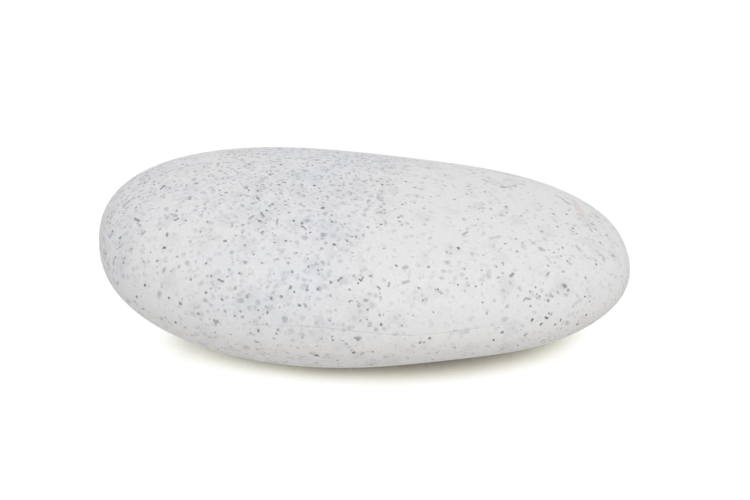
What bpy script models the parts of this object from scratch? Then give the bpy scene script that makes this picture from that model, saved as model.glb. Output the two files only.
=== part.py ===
"""River pebble: one smooth, water-worn stone, modelled as a single closed solid.

Units are metres and +Z is up. The stone lies on its belly, with its long axis along X.
The origin is the middle of the stone's box, on the surface that it lies on.

The form is a rounded "cushion": every direction from the middle of the stone meets its skin
where a power sum of the three scaled distances is one. The half above the girth is a little
taller than the half below it. The body then thins towards +X, has a shallow hollow worn across
it, and bends and leans a little, because no pebble is symmetric.
"""
import bmesh
import bpy
import numpy as np

# Driving dimensions of the stone
LENGTH = 0.140                # along X
WIDTH = 0.0870                # along Y, at the middle
CROWN_HEIGHT = 0.0248         # from the girth to the top, before the hollow is worn
BELLY_DEPTH = 0.0208          # from the girth to the underside, before the hollow is worn
REST_FLAT_DEPTH = 0.0005      # how much of the belly is worn off flat where it lies

# Roundness: 2 is an ellipse, and more is squarer
PLAN_POWER = 2.40             # seen from above
SIDE_POWER = 2.17             # seen from the side

# How the body departs from a symmetric one, at the two ends (+1 is the +X end, -1 is the -X end)
WIDTH_TAPER = -0.04           # share of the width gained towards +X
HEIGHT_TAPER = -0.142         # share of the height gained towards +X
END_DROP = -0.0046            # how far the +X end hangs, and the -X end stands, from level
END_LIFT = 0.0025             # how far both ends bend up
END_SWEEP = 0.0020            # how far both ends bend towards +Y
CROWN_LEAN = 0.08             # how far the crown leans towards +Y, as a share of its height

# The hollow worn across the body, as shares of the half length and of the half height
HOLLOW_AT = 0.33
HOLLOW_REACH = 0.29
HOLLOW_IN_CROWN = 0.035
HOLLOW_IN_BELLY = 0.10

# Fineness of the faceted skin: 5 gives 5,120 triangles
SUBDIVISIONS = 5
SNAP_HEIGHT = 0.0001          # corners this close to the ground plane are moved onto it

STONE_COLOUR = (0.78, 0.78, 0.79, 1.0)
STONE_ROUGHNESS = 0.5


def clear_scene():
    """Remove whatever the scene holds, so that the script can be run again."""
    for leftover in list(bpy.data.objects):
        bpy.data.objects.remove(leftover, do_unlink=True)


def new_collection(name):
    collection = bpy.data.collections.new(name)
    bpy.context.scene.collection.children.link(collection)
    return collection


def stone_material():
    """Off-white stone with a satin skin."""
    material = bpy.data.materials.new("speckled_stone")
    material.use_nodes = True
    shader = material.node_tree.nodes["Principled BSDF"]
    shader.inputs["Base Color"].default_value = STONE_COLOUR
    shader.inputs["Roughness"].default_value = STONE_ROUGHNESS
    shader.inputs["Metallic"].default_value = 0.0
    return material


def cushion_skin(directions):
    """Where each direction from the middle meets the symmetric cushion."""
    height = np.where(directions[:, 2] > 0.0, CROWN_HEIGHT, BELLY_DEPTH)
    along = np.abs(directions[:, 0] / (LENGTH / 2))
    across = np.abs(directions[:, 1] / (WIDTH / 2))
    upward = np.abs(directions[:, 2] / height)
    plan = (along ** PLAN_POWER + across ** PLAN_POWER) ** (SIDE_POWER / PLAN_POWER)
    gauge = (plan + upward ** SIDE_POWER) ** (1.0 / SIDE_POWER)
    return directions / gauge[:, None]


def worn_skin(directions):
    """The pebble's skin: the cushion, tapered, bent, leant and hollowed along its length."""
    points = cushion_skin(directions)
    station = points[:, 0] / (LENGTH / 2)
    hollow = np.where(directions[:, 2] > 0.0, HOLLOW_IN_CROWN, HOLLOW_IN_BELLY)
    hollow = hollow * np.exp(-((station - HOLLOW_AT) / HOLLOW_REACH) ** 2)
    points[:, 1] *= 1.0 + WIDTH_TAPER * station
    points[:, 1] += END_SWEEP * station ** 2 + CROWN_LEAN * points[:, 2]
    points[:, 2] *= (1.0 + HEIGHT_TAPER * station) * (1.0 - hollow)
    points[:, 2] += END_DROP * station + END_LIFT * station ** 2
    return points


def shape_stone(mesh):
    """Turn a ball of radius one into the pebble, with its box centred over the origin."""
    coordinates = np.empty(len(mesh.vertices) * 3)
    mesh.vertices.foreach_get("co", coordinates)
    points = worn_skin(coordinates.reshape(-1, 3))
    lowest = points.min(axis=0)
    highest = points.max(axis=0)
    points[:, :2] -= (lowest[:2] + highest[:2]) / 2
    points[:, 2] -= lowest[2] + REST_FLAT_DEPTH
    mesh.vertices.foreach_set("co", points.ravel())
    mesh.update()


def wear_rest_flat(mesh):
    """Cut off what is below the ground plane and close the cut, so that the stone lies still."""
    body = bmesh.new()
    body.from_mesh(mesh)
    everything = list(body.verts) + list(body.edges) + list(body.faces)
    bmesh.ops.bisect_plane(body, geom=everything, dist=SNAP_HEIGHT, plane_co=(0.0, 0.0, 0.0),
                           plane_no=(0.0, 0.0, 1.0), use_snap_center=True, clear_inner=True)
    rim = [edge for edge in body.edges if edge.is_boundary]
    bmesh.ops.edgenet_fill(body, edges=rim)
    bmesh.ops.recalc_face_normals(body, faces=body.faces)
    body.to_mesh(mesh)
    body.free()
    mesh.update()


def make_pebble(collection):
    mesh = bpy.data.meshes.new("pebble")
    ball = bmesh.new()
    bmesh.ops.create_icosphere(ball, subdivisions=SUBDIVISIONS, radius=1.0)
    ball.to_mesh(mesh)
    ball.free()
    shape_stone(mesh)
    wear_rest_flat(mesh)
    mesh.materials.append(stone_material())
    mesh.shade_smooth()
    pebble = bpy.data.objects.new("pebble", mesh)
    collection.objects.link(pebble)
    return pebble


def main():
    clear_scene()
    make_pebble(new_collection("river_pebble"))


main()
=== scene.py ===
"""River pebble: the looks of one smooth, speckled, water-worn stone.

The finished stone is one surface, worked out with numpy on a grid of turns and rises, with a
procedural stone finish. Units are metres, +Z is up, and the stone lies on the ground plane.
"""
import math

import bpy
import numpy as np
from bpy.props import FloatProperty, FloatVectorProperty, IntProperty, PointerProperty
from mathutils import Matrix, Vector
from mathutils.bvhtree import BVHTree


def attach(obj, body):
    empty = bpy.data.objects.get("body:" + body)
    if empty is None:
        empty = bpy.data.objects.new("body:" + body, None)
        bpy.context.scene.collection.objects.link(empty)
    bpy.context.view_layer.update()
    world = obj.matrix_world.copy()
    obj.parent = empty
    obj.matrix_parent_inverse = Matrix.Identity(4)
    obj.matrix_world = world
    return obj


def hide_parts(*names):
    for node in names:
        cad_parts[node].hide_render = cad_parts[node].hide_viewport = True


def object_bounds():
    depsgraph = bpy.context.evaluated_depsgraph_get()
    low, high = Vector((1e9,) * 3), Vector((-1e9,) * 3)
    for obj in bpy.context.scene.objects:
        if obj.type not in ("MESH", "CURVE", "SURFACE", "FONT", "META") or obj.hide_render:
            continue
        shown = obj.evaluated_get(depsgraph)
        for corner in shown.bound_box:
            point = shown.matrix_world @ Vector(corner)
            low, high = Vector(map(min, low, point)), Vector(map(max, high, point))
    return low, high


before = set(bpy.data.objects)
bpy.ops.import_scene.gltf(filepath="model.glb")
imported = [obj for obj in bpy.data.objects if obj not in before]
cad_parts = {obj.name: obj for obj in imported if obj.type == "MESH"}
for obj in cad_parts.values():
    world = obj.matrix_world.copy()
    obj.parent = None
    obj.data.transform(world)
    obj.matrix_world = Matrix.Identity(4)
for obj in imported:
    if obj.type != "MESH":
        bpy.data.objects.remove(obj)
CAD_BOX = [list(corner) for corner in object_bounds()]

bl_info = {
    "name": "River pebble",
    "version": (1, 0, 0),
    "blender": (4, 5, 0),
    "location": "View3D > Sidebar > Pebble",
    "description": "Makes a speckled river pebble and a plain studio to show it in",
    "category": "Add Mesh",
}

PICTURE_WIDTH = 750           # the picture that the camera frames, in pixels
PICTURE_HEIGHT = 500
SENSOR_WIDTH_MM = 36.0
MILLIMETRE = 0.001


# ---- settings

class PebbleForm(bpy.types.PropertyGroup):
    """Sizes and wear of the stone's body."""

    length: FloatProperty(
        name="Length", description="Longest way through the stone, along X",
        default=CAD_BOX[1][0] - CAD_BOX[0][0], unit="LENGTH")
    width: FloatProperty(
        name="Width", description="Across the middle, along Y", default=0.0870, unit="LENGTH")
    crown_height: FloatProperty(
        name="Crown height", description="From the girth to the top, before the hollow is worn",
        default=0.0248, unit="LENGTH")
    belly_depth: FloatProperty(
        name="Belly depth", description="From the girth to the underside, before the hollow",
        default=0.0208, unit="LENGTH")
    rest_flat_depth: FloatProperty(
        name="Rest flat depth", description="How much of the belly is worn off flat",
        default=0.0005, unit="LENGTH")
    plan_power: FloatProperty(
        name="Plan power", description="Squareness seen from above; 2 is an ellipse", default=2.40)
    side_power: FloatProperty(
        name="Side power", description="Squareness seen from the side", default=2.17)
    width_taper: FloatProperty(
        name="Width taper", description="Share of the width gained towards +X", default=-0.04)
    height_taper: FloatProperty(
        name="Height taper", description="Share of the height gained towards +X", default=-0.142)
    end_drop: FloatProperty(
        name="End drop", description="How far the +X end hangs from level",
        default=-0.0046, unit="LENGTH")
    end_lift: FloatProperty(
        name="End lift", description="How far both ends bend up", default=0.0025, unit="LENGTH")
    end_sweep: FloatProperty(
        name="End sweep", description="How far both ends bend towards +Y",
        default=0.0020, unit="LENGTH")
    crown_lean: FloatProperty(
        name="Crown lean", description="Lean of the crown towards +Y, as a share of its height",
        default=0.08)
    hollow_at: FloatProperty(
        name="Hollow at", description="Where the worn hollow lies, in half lengths", default=0.33)
    hollow_reach: FloatProperty(
        name="Hollow reach", description="How far the hollow runs, in half lengths", default=0.29)
    hollow_in_crown: FloatProperty(
        name="Hollow in crown", description="Share of the crown's height worn off",
        subtype="FACTOR", default=0.035, min=0.0, max=1.0)
    hollow_in_belly: FloatProperty(
        name="Hollow in belly", description="Share of the belly's depth worn off",
        subtype="FACTOR", default=0.10, min=0.0, max=1.0)
    unevenness: FloatProperty(
        name="Unevenness", description="Height of the broad, barely felt waves of the skin",
        default=0.00010, unit="LENGTH")
    line_step: FloatProperty(
        name="Line step", description="How far the skin under the girth line stands back",
        default=0.00010, unit="LENGTH")
    line_groove: FloatProperty(
        name="Line groove", description="Depth of the fine line round the girth",
        default=0.00010, unit="LENGTH")
    columns: IntProperty(
        name="Columns", description="Grid lines from pole to pole", default=360, min=12)
    rows_each_half: IntProperty(
        name="Rows each half", description="Grid rings between the girth and a pole",
        default=115, min=8)


class StoneFinish(bpy.types.PropertyGroup):
    """Colours and amounts of the speckled stone."""

    ground_colour: FloatVectorProperty(
        name="Ground", description="Off-white body of the stone", subtype="COLOR",
        default=(0.793, 0.786, 0.790))
    cloud_colour: FloatVectorProperty(
        name="Cloud", description="Bluish body of the clouded zone", subtype="COLOR",
        default=(0.742, 0.750, 0.780))
    dark_fleck: FloatVectorProperty(
        name="Dark fleck", description="Near-black navy of the crisp grains", subtype="COLOR",
        default=(0.042, 0.044, 0.050))
    slate_fleck: FloatVectorProperty(
        name="Slate fleck", description="Blue-grey of the rods and grains", subtype="COLOR",
        default=(0.230, 0.231, 0.254))
    blue_fleck: FloatVectorProperty(
        name="Blue fleck", description="Blue that the grains take on in the clouded zone",
        subtype="COLOR", default=(0.21, 0.24, 0.36))
    lilac_fleck: FloatVectorProperty(
        name="Lilac fleck", description="Lilac-grey of the soft grains", subtype="COLOR",
        default=(0.36, 0.358, 0.385))
    scuff_olive: FloatVectorProperty(
        name="Scuff olive", description="Dull olive of the thin rubbed streaks", subtype="COLOR",
        default=(0.34, 0.33, 0.27))
    scuff_pink: FloatVectorProperty(
        name="Scuff pink", description="Pinkish tan of the rubbed smear", subtype="COLOR",
        default=(0.66, 0.57, 0.53))
    scuff_brown: FloatVectorProperty(
        name="Scuff brown", description="Brown of the speck under the smear", subtype="COLOR",
        default=(0.32, 0.26, 0.20))
    fleck_amount: FloatProperty(
        name="Fleck amount", description="Multiplies how many grains show", default=1.0,
        min=0.0, soft_max=2.0)
    roughness: FloatProperty(
        name="Roughness", description="Of the satin skin", subtype="FACTOR", default=0.52,
        min=0.0, max=1.0)


class StudioSettings(bpy.types.PropertyGroup):
    """Camera, lights and floor."""

    azimuth: FloatProperty(
        name="Azimuth", description="Camera's turn round the stone; 0 looks along +Y",
        default=math.radians(-4.5), subtype="ANGLE")
    elevation: FloatProperty(
        name="Elevation", description="Camera's height above the horizon",
        default=math.radians(24.02), subtype="ANGLE")
    distance: FloatProperty(
        name="Distance", description="From the camera to the middle of the stone",
        default=0.9022, unit="LENGTH")
    lens: FloatProperty(
        name="Lens", description="Focal length in millimetres", default=164.2, unit="CAMERA")
    middle_across: FloatProperty(
        name="Middle across", description="Where the stone's middle falls, in pixels from the left",
        default=366.3, subtype="PIXEL")
    middle_down: FloatProperty(
        name="Middle down", description="Where the stone's middle falls, in pixels from the top",
        default=263.1, subtype="PIXEL")
    dome_strength: FloatProperty(
        name="Dome strength", description="Radiance of the even white surroundings", default=0.815)
    key_power: FloatProperty(
        name="Key power", description="Of the large soft lamp, in watts", default=3.7,
        unit="POWER")
    floor_colour: FloatVectorProperty(
        name="Floor", description="Pale floor, as it lights the stone", subtype="COLOR",
        default=(0.31, 0.305, 0.285))


# ---- the stone's surface

GIRTH_ROW_SHARE = 0.145       # spacing of the rows at the girth, as a share of an even spacing
ROW_GROWTH = 2.2              # how quickly the rows open out away from the girth
LINE_WANDER = 0.00075         # how far the girth line wanders up and down
LINE_WAVE_LENGTH = 0.047      # along X, from crest to crest
LINE_WAVE_START = -0.028
LINE_WANDER_REACH = 0.25      # radians of rise over which the rows follow the line
LINE_WIDTH = 0.00018          # width of the step at the line, and half that of the groove
LINE_FADE = 0.0040            # how far below the line the step dies out
LINE_FROM_X = -0.038          # the stretch of the front where the line is clear
LINE_TO_X = 0.034
LINE_END_SOFTNESS = 0.006
LINE_ELSEWHERE = 0.35         # strength of the line on the ends and the back
BROAD_WAVES = (               # the skin's long waves: radians per metre along X, Y, Z, and start
    ((61.0, 35.0, 20.0), 0.3), ((-44.0, 88.0, 51.0), 1.9), ((120.0, -37.0, 95.0), 4.1),
    ((30.0, 140.0, -77.0), 2.6), ((-96.0, -71.0, 133.0), 5.2),
)


def smooth_step(values):
    """0 below 0, 1 above 1, and 3v^2 - 2v^3 between."""
    v = np.clip(values, 0.0, 1.0)
    return v * v * (3.0 - 2.0 * v)


def worn_skin(directions, form):
    """Skin point for each direction from the stone's middle, in arrays of shape (..., 3).

    The plan power sum of x over the half length and y over the half width, and then the side
    power sum of that and z over the crown height or the belly depth, is one. The point is then
    tapered, swept, leant, hollowed, dropped and lifted by its station, x over the half length.
    """
    half_length = form.length / 2
    height = np.where(directions[..., 2] > 0.0, form.crown_height, form.belly_depth)
    along = np.abs(directions[..., 0] / half_length)
    across = np.abs(directions[..., 1] / (form.width / 2))
    upward = np.abs(directions[..., 2] / height)
    plan = (along ** form.plan_power + across ** form.plan_power)
    plan = plan ** (form.side_power / form.plan_power)
    gauge = (plan + upward ** form.side_power) ** (1.0 / form.side_power)
    points = directions / gauge[..., None]
    station = points[..., 0] / half_length
    hollow = np.where(directions[..., 2] > 0.0, form.hollow_in_crown, form.hollow_in_belly)
    hollow = hollow * np.exp(-((station - form.hollow_at) / form.hollow_reach) ** 2)
    points[..., 1] *= 1.0 + form.width_taper * station
    points[..., 1] += form.end_sweep * station ** 2 + form.crown_lean * points[..., 2]
    points[..., 2] *= (1.0 + form.height_taper * station) * (1.0 - hollow)
    points[..., 2] += form.end_drop * station + form.end_lift * station ** 2
    return points


def directions_of(turn, rise):
    """Unit directions for turns round the upright axis and rises above the girth plane."""
    return np.stack(np.broadcast_arrays(
        np.cos(rise) * np.cos(turn), np.cos(rise) * np.sin(turn), np.sin(rise)), axis=-1)


def skin_grid(form):
    """Turns, rises, distances above the girth line and the line's clearness, on rows by columns.

    Row s runs from -1 at the bottom pole to +1 at the top pole. Its rise is a quarter turn
    times (1 - c) |s|^g + c |s|, with c the girth row share and g the row growth, which packs
    the rows round the girth. Near the girth, the rows are moved up and down with the wandering
    line, a sine wave along X, so that one row lies on it all the way round.
    """
    turn = np.linspace(0.0, 2.0 * math.pi, form.columns, endpoint=False)[None, :]
    s = np.linspace(-1.0, 1.0, 2 * form.rows_each_half + 1)[1:-1, None]
    spread = (1.0 - GIRTH_ROW_SHARE) * np.abs(s) ** ROW_GROWTH + GIRTH_ROW_SHARE * np.abs(s)
    rise = np.sign(s) * spread * math.pi / 2
    girth = worn_skin(directions_of(turn, np.zeros_like(turn)), form)
    reach = np.hypot(girth[..., 0], girth[..., 1])
    wave = np.sin(2.0 * math.pi * (girth[..., 0] - LINE_WAVE_START) / LINE_WAVE_LENGTH)
    above_line = rise * reach
    rise = rise + LINE_WANDER * wave / reach * np.exp(-(rise / LINE_WANDER_REACH) ** 2)
    on_front = smooth_step(-girth[..., 1] / LINE_END_SOFTNESS)
    on_front = on_front * smooth_step((girth[..., 0] - LINE_FROM_X) / LINE_END_SOFTNESS)
    on_front = on_front * smooth_step((LINE_TO_X - girth[..., 0]) / LINE_END_SOFTNESS)
    clearness = LINE_ELSEWHERE + (1.0 - LINE_ELSEWHERE) * on_front
    return turn, rise, above_line, clearness


def girth_line_relief(above_line, clearness, form):
    """Height of the skin near the line: a step back under it, dying out, and a narrow groove.

    With h the height above the line, the step is a smooth step in h over the line's width,
    fading below it as e^(h / fade), and the groove is the bell curve e^-(h / width)^2.
    """
    under = smooth_step(0.5 - above_line / LINE_WIDTH)
    step = -form.line_step * under * np.exp(np.minimum(above_line, 0.0) / LINE_FADE)
    groove = -form.line_groove * np.exp(-(above_line / LINE_WIDTH) ** 2)
    return clearness * (step + groove)


def broad_waves(points, form):
    """Twice the mean of a few crossing sine waves through space, times the unevenness."""
    total = sum(np.sin(points @ np.array(pitch) + start) for pitch, start in BROAD_WAVES)
    return 2.0 * form.unevenness * total / len(BROAD_WAVES)


def pebble_points(form):
    """Points of the finished skin, and the place that the form's own middle is moved to.

    The points are the grid's, row by row, then the two poles. The worn skin gets its relief
    along each direction, is centred over the origin, and is cut flat at the ground plane.
    """
    turn, rise, above_line, clearness = skin_grid(form)
    directions = directions_of(turn, rise)
    points = worn_skin(directions, form)
    poles = worn_skin(np.array([[0.0, 0.0, -1.0], [0.0, 0.0, 1.0]]), form)
    relief = girth_line_relief(above_line, clearness, form) + broad_waves(points, form)
    everything = np.vstack([points.reshape(-1, 3), poles])
    lowest = everything.min(axis=0)
    highest = everything.max(axis=0)
    shift = -(lowest + highest) / 2
    shift[2] = -(lowest[2] + form.rest_flat_depth)
    points = points + directions * relief[..., None]
    everything = np.vstack([points.reshape(-1, 3), poles]) + shift
    everything[:, 2] = np.maximum(everything[:, 2], 0.0)
    return everything, shift


def grid_faces(rows, columns):
    """Quads between the rows, closed round the columns, and a fan of triangles at each pole."""
    index = np.arange(rows * columns).reshape(rows, columns)
    right = np.roll(index, -1, axis=1)
    quads = np.stack([index[:-1], right[:-1], right[1:], index[1:]], axis=-1).reshape(-1, 4)
    bottom_pole = rows * columns
    top_pole = bottom_pole + 1
    bottom = np.stack([right[0], index[0], np.full(columns, bottom_pole)], axis=-1)
    top = np.stack([index[-1], right[-1], np.full(columns, top_pole)], axis=-1)
    return quads.tolist() + bottom.tolist() + top.tolist()


def new_object(name, data):
    """Object with its data, linked into the scene."""
    thing = bpy.data.objects.new(name, data)
    bpy.context.scene.collection.objects.link(thing)
    return thing


def make_pebble_object(form):
    """The stone's finished surface, as one closed, smooth-shaded mesh."""
    points = pebble_points(form)[0]
    mesh = bpy.data.meshes.new("pebble_skin")
    mesh.from_pydata(points.tolist(), [], grid_faces(2 * form.rows_each_half - 1, form.columns))
    mesh.validate()
    mesh.shade_smooth()
    return new_object("pebble_skin", mesh)


# ---- node helpers

CURVE_TOP = 3.5               # highest value that a curve along an axis can take
MIDDLE_GREY = (0.5, 0.5, 0.5)  # the mean of a noise's colour


def add_node(tree, kind, values=None, **settings):
    """New node with its settings, and the default values of its inputs by name."""
    node = tree.nodes.new(kind)
    for name, value in settings.items():
        setattr(node, name, value)
    for name, value in (values or {}).items():
        node.inputs[name].default_value = value
    return node


def connect(tree, value, socket):
    """Link a socket's source to it, or set its plain value; None leaves it as it is."""
    if value is None:
        return
    if isinstance(value, bpy.types.NodeSocket):
        tree.links.new(value, socket)
    else:
        socket.default_value = value


def math_node(tree, operation, first, second=None, third=None):
    """Math node whose inputs are links or numbers; returns its output."""
    node = add_node(tree, "ShaderNodeMath", operation=operation)
    for socket, value in zip(node.inputs, (first, second, third)):
        connect(tree, value, socket)
    return node.outputs[0]


def vector_node(tree, operation, first, second=None, output="Vector"):
    """Vector math node, where SCALE takes a number second; returns the named output."""
    node = add_node(tree, "ShaderNodeVectorMath", operation=operation)
    connect(tree, first, node.inputs[0])
    connect(tree, second, node.inputs["Scale" if operation == "SCALE" else 1])
    return node.outputs[output]


def step_between(tree, value, low, high):
    """Smooth step of value from low, where it is 0, to high, where it is 1."""
    node = add_node(tree, "ShaderNodeMapRange", interpolation_type="SMOOTHSTEP")
    connect(tree, value, node.inputs["Value"])
    connect(tree, low, node.inputs["From Min"])
    connect(tree, high, node.inputs["From Max"])
    return node.outputs["Result"]


def within(tree, distance, radius, softness):
    """1 inside a radius and 0 outside; the softness, in radii, is how far the edge blurs."""
    soft_part = math_node(tree, "MULTIPLY", radius, softness)
    inner = math_node(tree, "SUBTRACT", radius, soft_part)
    outer = math_node(tree, "ADD", radius, soft_part)
    return math_node(tree, "SUBTRACT", 1.0, step_between(tree, distance, inner, outer))


def along_curve(tree, along, stops):
    """Value that follows the stops, pairs of a place and a value, by the place along an axis."""
    start, end = stops[0][0], stops[-1][0]
    share = add_node(tree, "ShaderNodeMapRange", {"From Min": start, "From Max": end})
    connect(tree, along, share.inputs["Value"])
    curve = add_node(tree, "ShaderNodeFloatCurve")
    line = curve.mapping.curves[0]
    for number, (place, height) in enumerate(stops):
        position = ((place - start) / (end - start), height / CURVE_TOP)
        if number in (0, len(stops) - 1):
            line.points[0 if number == 0 else -1].location = position
        else:
            line.points.new(*position)
    curve.mapping.update()
    connect(tree, share.outputs["Result"], curve.inputs["Value"])
    return math_node(tree, "MULTIPLY", curve.outputs["Value"], CURVE_TOP)


def mix_colours(tree, factor, first, second):
    """Mix node for colours; returns its output."""
    node = add_node(tree, "ShaderNodeMix", data_type="RGBA")
    sockets = {socket.identifier: socket for socket in node.inputs}
    connect(tree, factor, sockets["Factor_Float"])
    connect(tree, first, sockets["A_Color"])
    connect(tree, second, sockets["B_Color"])
    return next(socket for socket in node.outputs if socket.identifier == "Result_Color")


def noise_node(tree, place, waves, detail=1.0):
    """Noise texture with so many waves for each unit of place."""
    node = add_node(tree, "ShaderNodeTexNoise", {"Scale": waves, "Detail": detail})
    connect(tree, place, node.inputs["Vector"])
    return node


def noise_about_zero(tree, place, waves, detail, swing):
    """Noise from about minus half the swing to plus half of it."""
    noise = noise_node(tree, place, waves, detail)
    return math_node(tree, "MULTIPLY_ADD", noise.outputs["Fac"], 2.0 * swing, -swing)


def shaken(tree, place, waves, reach):
    """The place, moved about by noise within a box as wide as the reach."""
    noise = noise_node(tree, place, waves)
    shake = vector_node(tree, "SUBTRACT", noise.outputs["Color"], MIDDLE_GREY)
    return vector_node(tree, "ADD", place, vector_node(tree, "SCALE", shake, reach))


def object_place(tree):
    """Object coordinates, as one vector and as the three outputs X, Y and Z."""
    place = add_node(tree, "ShaderNodeTexCoord").outputs["Object"]
    axes = add_node(tree, "ShaderNodeSeparateXYZ")
    connect(tree, place, axes.inputs["Vector"])
    return place, axes.outputs


def new_group(name, inputs, outputs):
    """Node group with inputs and outputs, given as the type of each by its name."""
    group = bpy.data.node_groups.new(name, "ShaderNodeTree")
    for way, sockets in (("INPUT", inputs), ("OUTPUT", outputs)):
        for label, kind in sockets.items():
            group.interface.new_socket(label, in_out=way, socket_type="NodeSocket" + kind)
    return group, group.nodes.new("NodeGroupInput"), group.nodes.new("NodeGroupOutput")


def use_group(tree, group, values):
    """Place a group in a tree; values are links or numbers by input name."""
    node = add_node(tree, "ShaderNodeGroup", node_tree=group)
    for name, value in values.items():
        connect(tree, value, node.inputs[name])
    return node


def rgba(colour):
    """A colour with its opacity of one."""
    return (*colour, 1.0)


# ---- the stone's finish

# Kinds of grain, from the faintest and softest to the crispest: cells per metre, share of cells
# that hold one, radius in cells, length over width, softness, raggedness, opacity, and the two
# colours between which each grain's own lies.
GRAIN_KINDS = (
    ("haze", 190.0, 0.60, 0.36, 1.2, 0.90, 0.50, 0.14, "lilac_fleck", "slate_fleck"),
    ("faint smudges", 640.0, 0.80, 0.27, 1.2, 0.60, 0.45, 0.20, "lilac_fleck", "slate_fleck"),
    ("faint bricks", 460.0, 0.58, 0.215, 1.3, 0.55, 0.50, 0.28, "lilac_fleck", "slate_fleck"),
    ("soft bricks", 370.0, 0.50, 0.185, 1.25, 0.50, 0.45, 0.45, "lilac_fleck", "slate_fleck"),
    ("rods", 450.0, 0.28, 0.125, 2.3, 0.45, 0.30, 0.62, "lilac_fleck", "slate_fleck"),
    ("grains", 540.0, 0.44, 0.150, 1.15, 0.45, 0.35, 0.74, "lilac_fleck", "dark_fleck"),
    ("pepper", 560.0, 0.21, 0.125, 1.10, 0.35, 0.30, 0.98, "slate_fleck", "dark_fleck"),
)
GRAIN_COLOURS = ("dark_fleck", "slate_fleck", "lilac_fleck")
GRAIN_EDGE_WAVES = 3.0        # waves of a grain's ragged edge, for each cell
SMALLEST_GRAIN = 0.55         # sizes of the grains of one kind, as shares of its radius
LARGEST_GRAIN = 1.45
GRAIN_POLISH = 0.10           # how much less rough the grains are than the body

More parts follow.
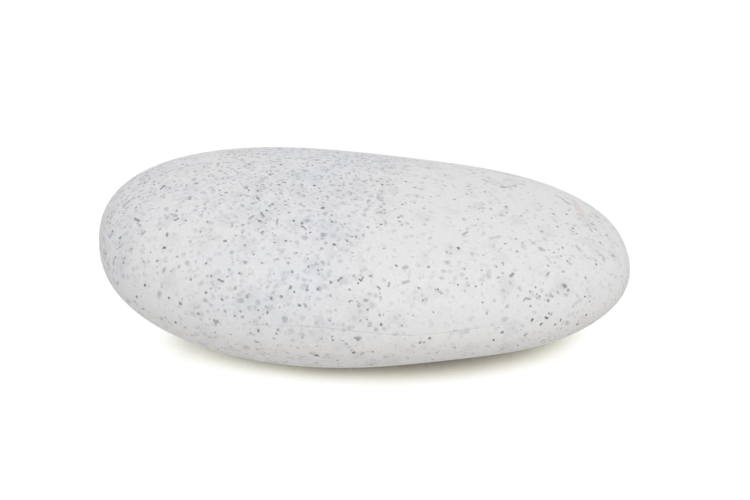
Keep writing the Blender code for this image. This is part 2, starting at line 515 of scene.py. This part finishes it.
# Single marks that stand out on the front: their two tips, in pixels of the camera's picture,
# their width in millimetres, and their kind. A mark with one tip twice is a dot.
MARKS = {
    "largest grain": ((562.6, 284.6), (566.8, 287.2), 1.00, "slate"),
    "grain left of the largest": ((544.6, 316.9), (548.5, 318.7), 0.68, "black"),
    "speck above the cluster": ((549.1, 313.4), (549.1, 313.4), 0.52, "black"),
    "dash beside the speck": ((552.0, 312.6), (550.4, 316.2), 0.44, "grey"),
    "dash at the cluster's left": ((533.2, 318.2), (531.0, 321.6), 0.52, "black"),
    "grain under the cluster": ((542.2, 322.4), (540.3, 325.4), 0.58, "black"),
    "speck at the cluster's right": ((555.4, 324.3), (555.4, 324.3), 0.60, "black"),
    "dash at the cluster's right": ((561.3, 318.7), (559.9, 321.5), 0.45, "black"),
    "dash low on the belly": ((527.0, 333.7), (523.6, 335.7), 0.46, "slate"),
    "grain above the cluster": ((548.2, 300.6), (548.2, 300.6), 0.72, "slate"),
    "grey dash on the right": ((525.2, 298.2), (530.9, 299.3), 0.52, "grey"),
    "grain over the grey dash": ((534.8, 286.6), (536.4, 288.4), 0.56, "slate"),
    "grain below the grey dash": ((530.5, 306.2), (530.5, 306.2), 0.62, "slate"),
    "forked grain on the right": ((509.9, 276.7), (514.2, 273.2), 0.72, "slate"),
    "clouded grain near the top": ((499.8, 187.0), (506.4, 187.0), 1.40, "grey"),
    "dash near the top": ((506.8, 186.1), (512.0, 187.5), 0.80, "grey"),
    "slanting grain": ((462.8, 234.9), (467.8, 231.4), 0.60, "grey"),
    "speck right of the hollow": ((506.2, 206.7), (506.2, 206.7), 0.90, "slate"),
    "long faint dash": ((488.6, 238.9), (501.2, 236.4), 0.85, "faint"),
    "double grain, upper": ((164.1, 186.1), (164.1, 186.1), 0.92, "black"),
    "double grain, lower": ((160.2, 189.7), (163.6, 186.6), 0.50, "black"),
    "hooked grain on the left": ((134.2, 218.2), (140.0, 221.4), 0.74, "slate"),
    "slanting dash on the left": ((145.6, 230.8), (141.8, 235.4), 0.58, "grey"),
    "blackest grain on the left": ((162.2, 247.9), (166.0, 248.0), 0.78, "black"),
    "upright dash on the left": ((167.2, 232.2), (167.2, 236.9), 0.56, "slate"),
    "grain right of the dashes": ((174.8, 220.8), (176.6, 218.8), 0.66, "slate"),
    "teal smudge": ((189.3, 198.8), (189.3, 198.8), 0.95, "soft"),
    "curved rod on the crown": ((256.1, 195.0), (260.1, 201.0), 0.50, "grey"),
    "dark rod on the crown": ((260.6, 212.0), (263.9, 216.6), 0.62, "slate"),
    "rod beside the dark rod": ((249.2, 218.4), (254.2, 215.5), 0.64, "grey"),
    "upright rod on the crown": ((277.7, 218.2), (276.8, 225.1), 0.52, "grey"),
    "grain at the zone's edge": ((321.2, 208.4), (324.8, 207.4), 0.80, "black"),
    "black speck on the crown": ((314.4, 185.7), (314.4, 185.7), 0.76, "black"),
    "teal rod on the crown": ((300.5, 225.7), (305.2, 227.8), 0.60, "slate"),
    "forked grain, left arm": ((358.2, 279.0), (361.7, 281.2), 0.42, "black"),
    "forked grain, right arm": ((360.9, 281.2), (363.4, 276.5), 0.42, "slate"),
    "teal brick": ((337.2, 281.6), (342.3, 276.9), 0.66, "slate"),
    "three-cornered brick": ((363.4, 300.2), (368.2, 300.2), 0.74, "grey"),
    "slanting dash": ((376.7, 286.1), (380.5, 289.5), 0.44, "slate"),
    "upright dash": ((389.6, 282.0), (388.5, 287.3), 0.50, "grey"),
    "speck in the clouded zone": ((334.1, 244.6), (334.1, 244.6), 0.84, "black"),
    "soft brick, upper": ((402.4, 268.7), (408.6, 266.1), 0.95, "soft"),
    "soft brick, lower": ((401.8, 283.3), (409.6, 280.9), 0.80, "soft"),
    "level dash on the left": ((217.3, 279.2), (224.0, 281.8), 0.50, "slate"),
    "grain under the level dash": ((235.0, 286.1), (235.4, 290.1), 0.82, "grey"),
    "blue three-cornered blob": ((212.8, 320.0), (218.8, 322.5), 0.95, "grey"),
    "blob's tail": ((216.2, 321.6), (215.8, 326.0), 0.60, "soft"),
    "grain at the clouded edge": ((291.6, 285.4), (289.4, 289.4), 0.66, "slate"),
    "grain near the bottom": ((314.3, 355.0), (318.9, 355.7), 0.80, "black"),
    "slanting grain below the line": ((355.2, 336.8), (359.0, 340.6), 0.70, "grey"),
    "scuff, thin end": ((553.6, 194.6), (563.2, 198.9), 0.62, "olive"),
    "scuff, thick end": ((561.4, 198.2), (570.0, 205.2), 0.90, "olive"),
    "scuff, second line": ((564.6, 197.0), (568.6, 199.2), 0.70, "olive"),
    "pink smear": ((572.4, 199.0), (583.6, 217.2), 2.10, "pink"),
    "edge of the smear": ((573.6, 201.4), (576.4, 211.0), 0.60, "olive trace"),
    "dash under the scuff": ((551.8, 213.8), (554.8, 214.0), 0.76, "slate"),
    "dash under the smear": ((564.8, 213.6), (568.0, 214.8), 0.80, "slate"),
    "slanting speck below them": ((556.6, 225.6), (558.6, 227.4), 0.74, "slate"),
    "paired specks, left": ((572.2, 231.2), (574.0, 232.0), 0.52, "slate"),
    "paired specks, right": ((576.5, 233.8), (576.5, 233.8), 0.62, "slate"),
    "speck near the right end": ((595.6, 229.3), (595.6, 229.3), 0.70, "slate"),
    "speck low on the right": ((586.3, 314.8), (586.3, 314.8), 0.62, "black"),
    "speck right of the largest": ((585.5, 277.8), (585.5, 277.8), 0.62, "slate"),
    "brown speck": ((579.3, 218.9), (579.3, 218.9), 0.80, "brown"),
}
MARK_KINDS = {                # colour, opacity and softness
    "black": ("dark_fleck", 0.80, 0.50),
    "slate": ("slate_fleck", 0.84, 0.55),
    "grey": ("slate_fleck", 0.62, 0.60),
    "soft": ("lilac_fleck", 0.66, 0.65),
    "faint": ("lilac_fleck", 0.38, 0.70),
    "olive": ("scuff_olive", 0.55, 0.70),
    "olive trace": ("scuff_olive", 0.20, 0.80),
    "pink": ("scuff_pink", 0.46, 1.00),
    "brown": ("scuff_brown", 0.45, 0.60),
}
MARK_RAGGEDNESS = 0.00025     # how far a mark's edge wanders
RUBBED_SPOT = (562.0, 196.0)  # middle of the rubbed spot, where few grains show, as a pixel
RUBBED_FROM = 0.004           # distance from its middle at which the grains begin to come back
RUBBED_TO = 0.011
RUBBED_RICHNESS = 0.25        # share of the grains left at its middle
MARK_EDGE_WAVES = 1500.0      # waves of a mark's edge, for each metre

RICHNESS_ALONG = (            # how rich in grains the stone is, by the place along X
    (-0.067, 1.95), (-0.056, 0.90), (-0.045, 1.40), (-0.033, 1.52),
    (-0.005, 1.52), (0.008, 0.54), (0.020, 0.72), (0.040, 0.57), (0.052, 0.84),
)
SURPLUS_ACROSS = (            # what the rich zones' surplus is multiplied by, along Y
    (-0.045, 1.00), (-0.018, 1.00), (-0.007, 1.70), (0.006, 2.90), (0.022, 2.40), (0.045, 1.00),
)
POOR_RICHNESS = 0.58          # the surplus is what a zone has above this
LOW_SURPLUS = 0.35            # share of the surplus that is left low on the stone
BLUENESS_ALONG = (            # how bluish its body is
    (-0.067, 0.55), (-0.052, 0.30), (-0.040, 0.37), (-0.033, 0.54),
    (-0.012, 0.58), (0.000, 0.16), (0.008, 0.04), (0.060, 0.02),
)
ZONE_SLANT = 0.20             # how far the zones' edges lean towards +X for each step towards +Y
ZONE_SLANT_FROM = -0.030      # where along Y the edges are at their own X
RICH_FADE = (0.022, 0.032)    # heights between which the zones come to their full richness
BLUE_FADE = (0.014, 0.026)    # and the bluish cast to its full strength
FLECK_BLUENESS = 0.50         # share of the blue that the grains take on where it is strongest

# Noises: their waves for each metre, their detail and their swing
ZONE_SWAY = (40.0, 1.0, 0.018)      # how far the zones' edges wander along X
DRIFT = (60.0, 2.0, 0.5)            # slow changes of the richness
CLUSTERS = (170.0, 2.0, 1.1)        # quicker ones, which gather the grains in clusters
BILLOWS = (95.0, 3.0, 1.6)          # how the bluish cast comes and goes
MOTTLE = (1300.0, 2.0, 0.08)        # how the body's brightness changes from grain to grain

GRIT_WAVES = 1500.0           # waves of the skin's fine grit, for each metre
GRIT_DETAIL = 3.0
GRIT_STRENGTH = 0.25          # share of its height that shows
GRIT_HEIGHT = 0.00004
STONE_IOR = 1.48


def grains_group():
    """Grains of one kind scattered through the stone, laid over a colour.

    The stone is divided into random cells. A share of them hold a grain: a rounded rod in a
    random direction, of a random size, in a colour between two ends. A place lies in the grain
    where its offset from the cell's middle, with the part along the rod divided by the rod's
    length over its width, is shorter than the radius. The skin cuts the grains wherever it
    passes, so they show as dots, dashes and bricks of many sizes.
    """
    group, given, result = new_group("stone grains", {
        "Base": "Color", "Vector": "Vector", "Cells per metre": "Float", "Share": "Float",
        "Radius": "Float", "Length": "Float", "Softness": "Float", "Raggedness": "Float",
        "Opacity": "Float", "Light Grain": "Color", "Dark Grain": "Color",
    }, {"Colour": "Color", "Mask": "Float"})
    value = given.outputs
    place = vector_node(group, "SCALE", value["Vector"], value["Cells per metre"])
    place = shaken(group, place, GRAIN_EDGE_WAVES, value["Raggedness"])
    cells = add_node(group, "ShaderNodeTexVoronoi", {"Scale": 1.0, "Randomness": 1.0})
    connect(group, place, cells.inputs["Vector"])
    offset = vector_node(group, "SUBTRACT", place, cells.outputs["Position"])
    lie = vector_node(group, "SUBTRACT", cells.outputs["Color"], MIDDLE_GREY)
    lie = vector_node(group, "NORMALIZE", lie)
    dice = add_node(group, "ShaderNodeTexWhiteNoise", noise_dimensions="3D")
    connect(group, cells.outputs["Position"], dice.inputs["Vector"])
    draw = add_node(group, "ShaderNodeSeparateColor")
    connect(group, dice.outputs["Color"], draw.inputs["Color"])
    lengthwise = vector_node(group, "DOT_PRODUCT", offset, lie, output="Value")
    length_squared = vector_node(group, "DOT_PRODUCT", offset, offset, output="Value")
    squeeze = math_node(group, "POWER", value["Length"], -2.0)
    squeeze = math_node(group, "SUBTRACT", 1.0, squeeze)
    saved = math_node(group, "MULTIPLY", lengthwise, lengthwise)
    saved = math_node(group, "MULTIPLY", saved, squeeze)
    distance = math_node(group, "SQRT", math_node(group, "SUBTRACT", length_squared, saved))
    size = math_node(group, "MULTIPLY_ADD", draw.outputs["Red"],
                     LARGEST_GRAIN - SMALLEST_GRAIN, SMALLEST_GRAIN)
    radius = math_node(group, "MULTIPLY", size, value["Radius"])
    shape = within(group, distance, radius, value["Softness"])
    present = math_node(group, "LESS_THAN", draw.outputs["Green"], value["Share"])
    mask = math_node(group, "MULTIPLY", shape, present)
    grain = mix_colours(group, draw.outputs["Blue"], value["Light Grain"], value["Dark Grain"])
    strength = math_node(group, "MULTIPLY", mask, value["Opacity"])
    colour = mix_colours(group, strength, value["Base"], grain)
    connect(group, colour, result.inputs["Colour"])
    connect(group, strength, result.inputs["Mask"])
    return group


def stroke_group():
    """One round-ended mark laid over a colour: all within a radius of the run from a start."""
    group, given, result = new_group("stone stroke", {
        "Base": "Color", "Vector": "Vector", "Start": "Vector", "Run": "Vector",
        "Radius": "Float", "Softness": "Float", "Opacity": "Float", "Grain": "Color",
    }, {"Colour": "Color"})
    value = given.outputs
    offset = vector_node(group, "SUBTRACT", value["Vector"], value["Start"])
    reach = vector_node(group, "DOT_PRODUCT", offset, value["Run"], output="Value")
    run_squared = vector_node(group, "DOT_PRODUCT", value["Run"], value["Run"], output="Value")
    share = math_node(group, "DIVIDE", reach, run_squared)
    share = math_node(group, "MINIMUM", math_node(group, "MAXIMUM", share, 0.0), 1.0)
    nearest = vector_node(group, "SCALE", value["Run"], share)
    gap = vector_node(group, "DISTANCE", offset, nearest, output="Value")
    shape = within(group, gap, value["Radius"], value["Softness"])
    strength = math_node(group, "MULTIPLY", shape, value["Opacity"])
    colour = mix_colours(group, strength, value["Base"], value["Grain"])
    connect(group, colour, result.inputs["Colour"])
    return group


def zone_station(tree, place, along, across):
    """The place along X at which the zones are read: swayed by noise, and slanted with Y."""
    station = math_node(tree, "ADD", along, noise_about_zero(tree, place, *ZONE_SWAY))
    station = math_node(tree, "MULTIPLY_ADD", across, -ZONE_SLANT, station)
    return math_node(tree, "ADD", station, ZONE_SLANT * ZONE_SLANT_FROM)


def richness_field(tree, place, station, across, height, finish):
    """How rich in grains the stone is: in zones along and across it, broken up by two noises."""
    richness = along_curve(tree, station, RICHNESS_ALONG)
    surplus = math_node(tree, "SUBTRACT", richness, POOR_RICHNESS)
    full = step_between(tree, height, *RICH_FADE)
    kept = math_node(tree, "MULTIPLY_ADD", full, 1.0 - LOW_SURPLUS, LOW_SURPLUS)
    kept = math_node(tree, "MULTIPLY", kept, along_curve(tree, across, SURPLUS_ACROSS))
    richness = math_node(tree, "MULTIPLY_ADD", surplus, kept, POOR_RICHNESS)
    swing = math_node(tree, "ADD", noise_about_zero(tree, place, *DRIFT),
                      noise_about_zero(tree, place, *CLUSTERS))
    swing = math_node(tree, "MAXIMUM", math_node(tree, "ADD", swing, 1.0), 0.0)
    richness = math_node(tree, "MULTIPLY", richness, swing)
    return math_node(tree, "MULTIPLY", richness, finish.fleck_amount)


def rubbed_thin(tree, place, spot, richness):
    """The richness, thinned round the rubbed spot."""
    distance = vector_node(tree, "DISTANCE", place, spot, output="Value")
    back = step_between(tree, distance, RUBBED_FROM, RUBBED_TO)
    left = math_node(tree, "MULTIPLY_ADD", back, 1.0 - RUBBED_RICHNESS, RUBBED_RICHNESS)
    return math_node(tree, "MULTIPLY", richness, left)


def blueness_field(tree, place, station, height):
    """How bluish the stone is: in zones along it, in billows, and less so towards the belly."""
    zones = along_curve(tree, station, BLUENESS_ALONG)
    zones = math_node(tree, "MULTIPLY", zones, step_between(tree, height, *BLUE_FADE))
    billow = math_node(tree, "ADD", noise_about_zero(tree, place, *BILLOWS), 1.0)
    return math_node(tree, "MULTIPLY", zones, math_node(tree, "MAXIMUM", billow, 0.0))


def ground(tree, place, blueness, finish):
    """Body colour under the grains: off-white, clouded with blue, and finely mottled."""
    colour = mix_colours(tree, blueness, rgba(finish.ground_colour), rgba(finish.cloud_colour))
    mottle = math_node(tree, "ADD", noise_about_zero(tree, place, *MOTTLE), 1.0)
    return vector_node(tree, "SCALE", colour, mottle)


def lay_grains(tree, place, colour, richness, blueness, finish):
    """The kinds of grain, laid over a colour one after another; returns colour and mask."""
    taken_on = math_node(tree, "MULTIPLY", blueness, FLECK_BLUENESS)
    tints = {name: mix_colours(tree, taken_on, rgba(getattr(finish, name)),
                               rgba(finish.blue_fleck)) for name in GRAIN_COLOURS}
    group = grains_group()
    mask = 0.0
    for name, cells, share, radius, length, soft, ragged, opacity, light, dark in GRAIN_KINDS:
        layer = use_group(tree, group, {
            "Base": colour, "Vector": place, "Cells per metre": cells,
            "Share": math_node(tree, "MULTIPLY", richness, share),
            "Radius": radius, "Length": length, "Softness": soft, "Raggedness": ragged,
            "Opacity": opacity, "Light Grain": tints[light], "Dark Grain": tints[dark],
        })
        layer.label = name
        colour = layer.outputs["Colour"]
        mask = math_node(tree, "MAXIMUM", layer.outputs["Mask"], mask)
    return colour, mask


def lay_marks(tree, place, colour, marks, finish):
    """The single marks, with frayed edges, laid over a colour one after another."""
    frayed = shaken(tree, place, MARK_EDGE_WAVES, 2.0 * MARK_RAGGEDNESS)
    group = stroke_group()
    for start, run, width, kind in marks:
        paint, opacity, softness = MARK_KINDS[kind]
        layer = use_group(tree, group, {
            "Base": colour, "Vector": frayed, "Start": start, "Run": run,
            "Radius": width / 2, "Softness": softness, "Opacity": opacity,
            "Grain": rgba(getattr(finish, paint)),
        })
        colour = layer.outputs["Colour"]
    return colour


def points_on_skin(pebble, studio, pixels):
    """Where the camera's rays through pixels of its picture meet the skin."""
    skin = BVHTree.FromObject(pebble, bpy.context.evaluated_depsgraph_get())
    position, rays = camera_rays(studio, pixels)
    return [skin.ray_cast(position, ray)[0] for ray in rays]


def marks_on_skin(pebble, studio):
    """Start, run, width and kind of each single mark.

    The marks have round ends, so start and run are drawn in from the tips by half a width.
    """
    pixels = [pixel for start, end, _, _ in MARKS.values() for pixel in (start, end)]
    points = points_on_skin(pebble, studio, pixels)
    placed = []
    for first, last, (_, _, width, kind) in zip(points[::2], points[1::2], MARKS.values()):
        run = last - first
        width *= MILLIMETRE
        inset = run.normalized() * min(width, run.length) / 2
        placed.append((first + inset, run - 2 * inset, width, kind))
    return placed


def stone_material(finish, marks, rubbed_spot):
    """Speckled stone: clouded off-white ground, the kinds of grain, and the single marks."""
    material = bpy.data.materials.new("speckled_stone")
    material.use_nodes = True
    tree = material.node_tree
    shader = tree.nodes["Principled BSDF"]
    place, (along, across, height) = object_place(tree)
    station = zone_station(tree, place, along, across)
    richness = richness_field(tree, place, station, across, height, finish)
    richness = rubbed_thin(tree, place, rubbed_spot, richness)
    blueness = blueness_field(tree, place, station, height)
    colour = ground(tree, place, blueness, finish)
    colour, mask = lay_grains(tree, place, colour, richness, blueness, finish)
    colour = lay_marks(tree, place, colour, marks, finish)
    connect(tree, colour, shader.inputs["Base Color"])
    rough = math_node(tree, "MULTIPLY_ADD", mask, -GRAIN_POLISH, finish.roughness)
    connect(tree, rough, shader.inputs["Roughness"])
    grit = noise_node(tree, place, GRIT_WAVES, GRIT_DETAIL)
    bump = add_node(tree, "ShaderNodeBump", {"Strength": GRIT_STRENGTH, "Distance": GRIT_HEIGHT})
    connect(tree, grit.outputs["Fac"], bump.inputs["Height"])
    connect(tree, bump.outputs["Normal"], shader.inputs["Normal"])
    shader.inputs["IOR"].default_value = STONE_IOR
    return material


# ---- the studio

DOME_SEEN = 1.02              # how white the surroundings look
CLIP_START = 0.01             # nearest and farthest that the camera sees
CLIP_END = 50.0
KEY_SIZE = 0.9                # side of the square lamp
KEY_DISTANCE = 1.3
KEY_AZIMUTH = math.radians(8.0)
KEY_ELEVATION = math.radians(44.0)
FLOOR_REACH = 6.0             # from its middle to its sides
FLOOR_GAP = 0.00005           # the floor lies just under the stone's flat
SHADOW_REACH = 0.03           # how far away the stone still shades the floor
SHADOW_SAMPLES = 48           # rays that look for the sky from each place
SHADOW_SHADES = (             # share of the near sky that the floor sees, and its colour to the eye
    (0.00, (0.03, 0.03, 0.02)),
    (0.05, (0.12, 0.11, 0.09)),
    (0.10, (0.43, 0.41, 0.34)),
    (0.15, (0.74, 0.72, 0.64)),
    (0.21, (0.96, 0.955, 0.90)),
    (0.27, (1.02, 1.02, 1.01)),
)
SHADOW_STEEPNESS = (          # how quickly the shadow clears, by the place along X
    (-0.060, 1.80), (-0.045, 1.90), (-0.030, 1.70), (-0.010, 1.28), (0.010, 1.00), (0.040, 1.00),
    (0.055, 1.15),
)
SHADOW_DEPTH = (              # and what is taken off the share of the sky, along X
    (-0.060, 0.30), (-0.050, 0.25), (-0.042, 0.15), (-0.030, 0.055), (-0.010, 0.01), (0.010, 0.00),
    (0.040, 0.01), (0.055, 0.05),
)
FLOOR_GLOW = 0.42             # strength of the floor's glow, which lights the stone alone


def away(azimuth, elevation):
    """Unit vector from the stone towards an azimuth and an elevation."""
    return Vector((math.sin(azimuth) * math.cos(elevation),
                   -math.cos(azimuth) * math.cos(elevation), math.sin(elevation)))


def girth_middle():
    """The middle of the stone's girth plane, from which its form is drawn."""
    return Vector(pebble_points(bpy.context.scene.pebble_form)[1])


def camera_place(studio):
    """The camera's position, and the point on which it is centred.

    It looks a little past the middle of the girth, up and to the right, so that the middle falls
    at the wanted pixel.
    """
    middle = girth_middle()
    back = away(studio.azimuth, studio.elevation)
    right = Vector((math.cos(studio.azimuth), math.sin(studio.azimuth), 0.0))
    up = back.cross(right)
    pixel = studio.distance * SENSOR_WIDTH_MM / studio.lens / PICTURE_WIDTH
    centre = middle + right * (PICTURE_WIDTH / 2 - studio.middle_across) * pixel
    centre -= up * (PICTURE_HEIGHT / 2 - studio.middle_down) * pixel
    return middle + back * studio.distance, centre


def camera_rays(studio, pixels):
    """The camera's position, and its rays' directions through pixels of its picture."""
    position, centre = camera_place(studio)
    ahead = (centre - position).normalized()
    right = ahead.cross(Vector((0.0, 0.0, 1.0))).normalized()
    up = right.cross(ahead)
    pixel = SENSOR_WIDTH_MM / studio.lens / PICTURE_WIDTH
    return position, [
        ahead + right * (across - PICTURE_WIDTH / 2) * pixel
        - up * (down - PICTURE_HEIGHT / 2) * pixel for across, down in pixels]


def facing(direction):
    """Turn that points a camera or a lamp along a direction."""
    return direction.to_track_quat("-Z", "Y").to_euler()


def make_camera(studio):
    """The camera, aimed so that the stone fills the frame as wanted."""
    position, centre = camera_place(studio)
    data = bpy.data.cameras.new("camera")
    data.lens = studio.lens
    data.sensor_width = SENSOR_WIDTH_MM
    data.clip_start = CLIP_START
    data.clip_end = CLIP_END
    camera = new_object("camera", data)
    camera.location = position
    camera.rotation_euler = facing(centre - position)
    bpy.context.scene.camera = camera


def make_dome(studio):
    """Even white surroundings, brighter to the eye than to the stone."""
    world = bpy.data.worlds.new("white_room")
    world.use_nodes = True
    tree = world.node_tree
    background = tree.nodes["Background"]
    background.inputs["Color"].default_value = rgba((1.0, 1.0, 1.0))
    seen = add_node(tree, "ShaderNodeLightPath").outputs["Is Camera Ray"]
    strength = math_node(tree, "MULTIPLY_ADD", seen, DOME_SEEN - studio.dome_strength,
                         studio.dome_strength)
    connect(tree, strength, background.inputs["Strength"])
    bpy.context.scene.world = world


def make_key(studio):
    """Large soft lamp in front of the stone and above it."""
    data = bpy.data.lights.new("soft_key", "AREA")
    data.shape = "SQUARE"
    data.size = KEY_SIZE
    data.energy = studio.key_power
    key = new_object("soft_key", data)
    key.location = away(KEY_AZIMUTH, KEY_ELEVATION) * KEY_DISTANCE
    key.rotation_euler = facing(-key.location)


def shadow_shade(tree):
    """The floor's colour to the eye: white, and darker where the stone hides the near sky."""
    sky = add_node(tree, "ShaderNodeAmbientOcclusion", {"Distance": SHADOW_REACH},
                   samples=SHADOW_SAMPLES)
    along = object_place(tree)[1]["X"]
    clearing = math_node(tree, "MULTIPLY", sky.outputs["AO"],
                         along_curve(tree, along, SHADOW_STEEPNESS))
    clearing = math_node(tree, "SUBTRACT", clearing, along_curve(tree, along, SHADOW_DEPTH))
    shades = add_node(tree, "ShaderNodeValToRGB")
    stops = shades.color_ramp.elements
    for number, (share, colour) in enumerate(SHADOW_SHADES):
        stop = stops[number] if number < 2 else stops.new(share)
        stop.position = share
        stop.color = rgba(colour)
    connect(tree, clearing, shades.inputs["Fac"])
    return shades.outputs["Color"]


def floor_material(studio):
    """Pale floor: matt and faintly glowing to the stone, and white but for a shadow to the eye."""
    material = bpy.data.materials.new("pale_floor")
    material.use_nodes = True
    tree = material.node_tree
    tree.nodes.clear()
    matt = add_node(tree, "ShaderNodeBsdfDiffuse", {"Color": rgba(studio.floor_colour)})
    glow = add_node(tree, "ShaderNodeEmission", {"Strength": FLOOR_GLOW})
    as_lit = add_node(tree, "ShaderNodeAddShader")
    connect(tree, matt.outputs[0], as_lit.inputs[0])
    connect(tree, glow.outputs[0], as_lit.inputs[1])
    as_seen = add_node(tree, "ShaderNodeEmission")
    connect(tree, shadow_shade(tree), as_seen.inputs["Color"])
    choice = add_node(tree, "ShaderNodeMixShader")
    connect(tree, add_node(tree, "ShaderNodeLightPath").outputs["Is Camera Ray"],
            choice.inputs["Fac"])
    connect(tree, as_lit.outputs[0], choice.inputs[1])
    connect(tree, as_seen.outputs[0], choice.inputs[2])
    output = add_node(tree, "ShaderNodeOutputMaterial")
    connect(tree, choice.outputs[0], output.inputs["Surface"])
    return material


def make_floor(studio):
    """Square of floor just under the stone, reaching far past the camera's view."""
    corners = [(side * FLOOR_REACH, end * FLOOR_REACH, -FLOOR_GAP)
               for side, end in ((-1, -1), (1, -1), (1, 1), (-1, 1))]
    mesh = bpy.data.meshes.new("floor")
    mesh.from_pydata(corners, [], [(0, 1, 2, 3)])
    mesh.materials.append(floor_material(studio))
    floor = new_object("floor", mesh)


# ---- operators and panel

class PEBBLE_OT_stone(bpy.types.Operator):
    """Make the stone's finished surface, in place of the plain solid"""

    bl_idname = "pebble.stone"
    bl_label = "Stone"
    bl_options = {"REGISTER", "UNDO"}

    def execute(self, context):
        pebble = make_pebble_object(context.scene.pebble_form)
        studio = context.scene.pebble_studio
        marks = marks_on_skin(pebble, studio)
        rubbed_spot = points_on_skin(pebble, studio, [RUBBED_SPOT])[0]
        material = stone_material(context.scene.pebble_finish, marks, rubbed_spot)
        pebble.data.materials.append(material)
        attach(pebble, "root")
        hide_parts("pebble")
        return {"FINISHED"}


class PEBBLE_OT_studio(bpy.types.Operator):
    """Make the pale floor, the soft light and the camera"""

    bl_idname = "pebble.studio"
    bl_label = "Studio"
    bl_options = {"REGISTER", "UNDO"}

    def execute(self, context):
        studio = context.scene.pebble_studio
        make_camera(studio)
        make_dome(studio)
        make_key(studio)
        make_floor(studio)
        context.scene.view_settings.view_transform = "Standard"
        return {"FINISHED"}


class PEBBLE_PT_panel(bpy.types.Panel):
    """The pebble's sizes, finish and studio, and the buttons that make them"""

    bl_idname = "PEBBLE_PT_panel"
    bl_label = "River pebble"
    bl_space_type = "VIEW_3D"
    bl_region_type = "UI"
    bl_category = "Pebble"

    def draw(self, context):
        scene = context.scene
        for title, settings, operator in (
                ("Form", scene.pebble_form, None),
                ("Finish", scene.pebble_finish, "pebble.stone"),
                ("Studio", scene.pebble_studio, "pebble.studio")):
            box = self.layout.box()
            box.label(text=title)
            for name in settings.__annotations__:
                box.prop(settings, name)
            if operator:
                box.operator(operator)


CLASSES = (PebbleForm, StoneFinish, StudioSettings,
           PEBBLE_OT_stone, PEBBLE_OT_studio, PEBBLE_PT_panel)


def register():
    """Add the settings, the operators and the panel to Blender."""
    for item in CLASSES:
        bpy.utils.register_class(item)
    bpy.types.Scene.pebble_form = PointerProperty(type=PebbleForm)
    bpy.types.Scene.pebble_finish = PointerProperty(type=StoneFinish)
    bpy.types.Scene.pebble_studio = PointerProperty(type=StudioSettings)


def unregister():
    """Take them away again."""
    del bpy.types.Scene.pebble_studio
    del bpy.types.Scene.pebble_finish
    del bpy.types.Scene.pebble_form
    for item in reversed(CLASSES):
        bpy.utils.unregister_class(item)


def main():
    """Make the studio and the stone."""
    register()
    bpy.ops.pebble.studio()
    bpy.ops.pebble.stone()


if __name__ == "__main__":
    main()
